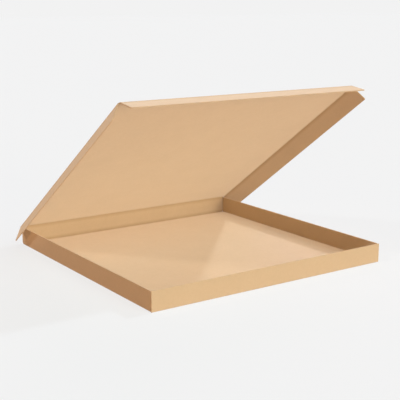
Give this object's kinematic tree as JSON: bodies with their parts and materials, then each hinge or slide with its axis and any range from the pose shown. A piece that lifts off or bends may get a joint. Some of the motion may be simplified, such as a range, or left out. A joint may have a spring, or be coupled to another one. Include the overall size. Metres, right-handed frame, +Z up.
{
  "type": "pizza box",
  "caption": "Open square pizza box of plain brown board: a shallow glued tray and a hinged lid whose front and side flaps fold down outside the tray walls.",
  "frame": {"origin": "under the middle of the tray, on the surface that it stands on", "axes": "+X to the right seen from the front, +Y to the back where the lid is hinged, +Z up"},
  "size_m": [0.4586, 0.42, 0.2724],
  "materials": {
    "kraft_board": "uncoated brown kraft corrugated board, matt"
  },
  "bodies": {
    "tray": {"tray": "kraft_board"},
    "lid": {"lid_panel": "kraft_board"},
    "front_flap": {"front_flap": "kraft_board"},
    "left_flap": {"left_flap": "kraft_board"},
    "right_flap": {"right_flap": "kraft_board"}
  },
  "joints": [
    {"name": "lid_hinge", "type": "hinge", "parent": "tray", "child": "lid", "pos_m": [0, 0.20775, 0.03105], "axis": [-1, 0, 0], "range_deg": [-35, 145]},
    {"name": "front_flap_fold", "type": "hinge", "parent": "lid", "child": "front_flap", "pos_m": [0, -0.13588, 0.27166], "axis": [-1, 0, 0], "range_deg": [-47, 43]},
    {"name": "left_flap_fold", "type": "hinge", "parent": "lid", "child": "left_flap", "pos_m": [-0.21175, 0.03554, 0.15163], "axis": [0, 0.8192, -0.5736], "range_deg": [-35, 55]},
    {"name": "right_flap_fold", "type": "hinge", "parent": "lid", "child": "right_flap", "pos_m": [0.21175, 0.03554, 0.15163], "axis": [0, -0.8192, 0.5736], "range_deg": [-35, 55]}
  ]
}
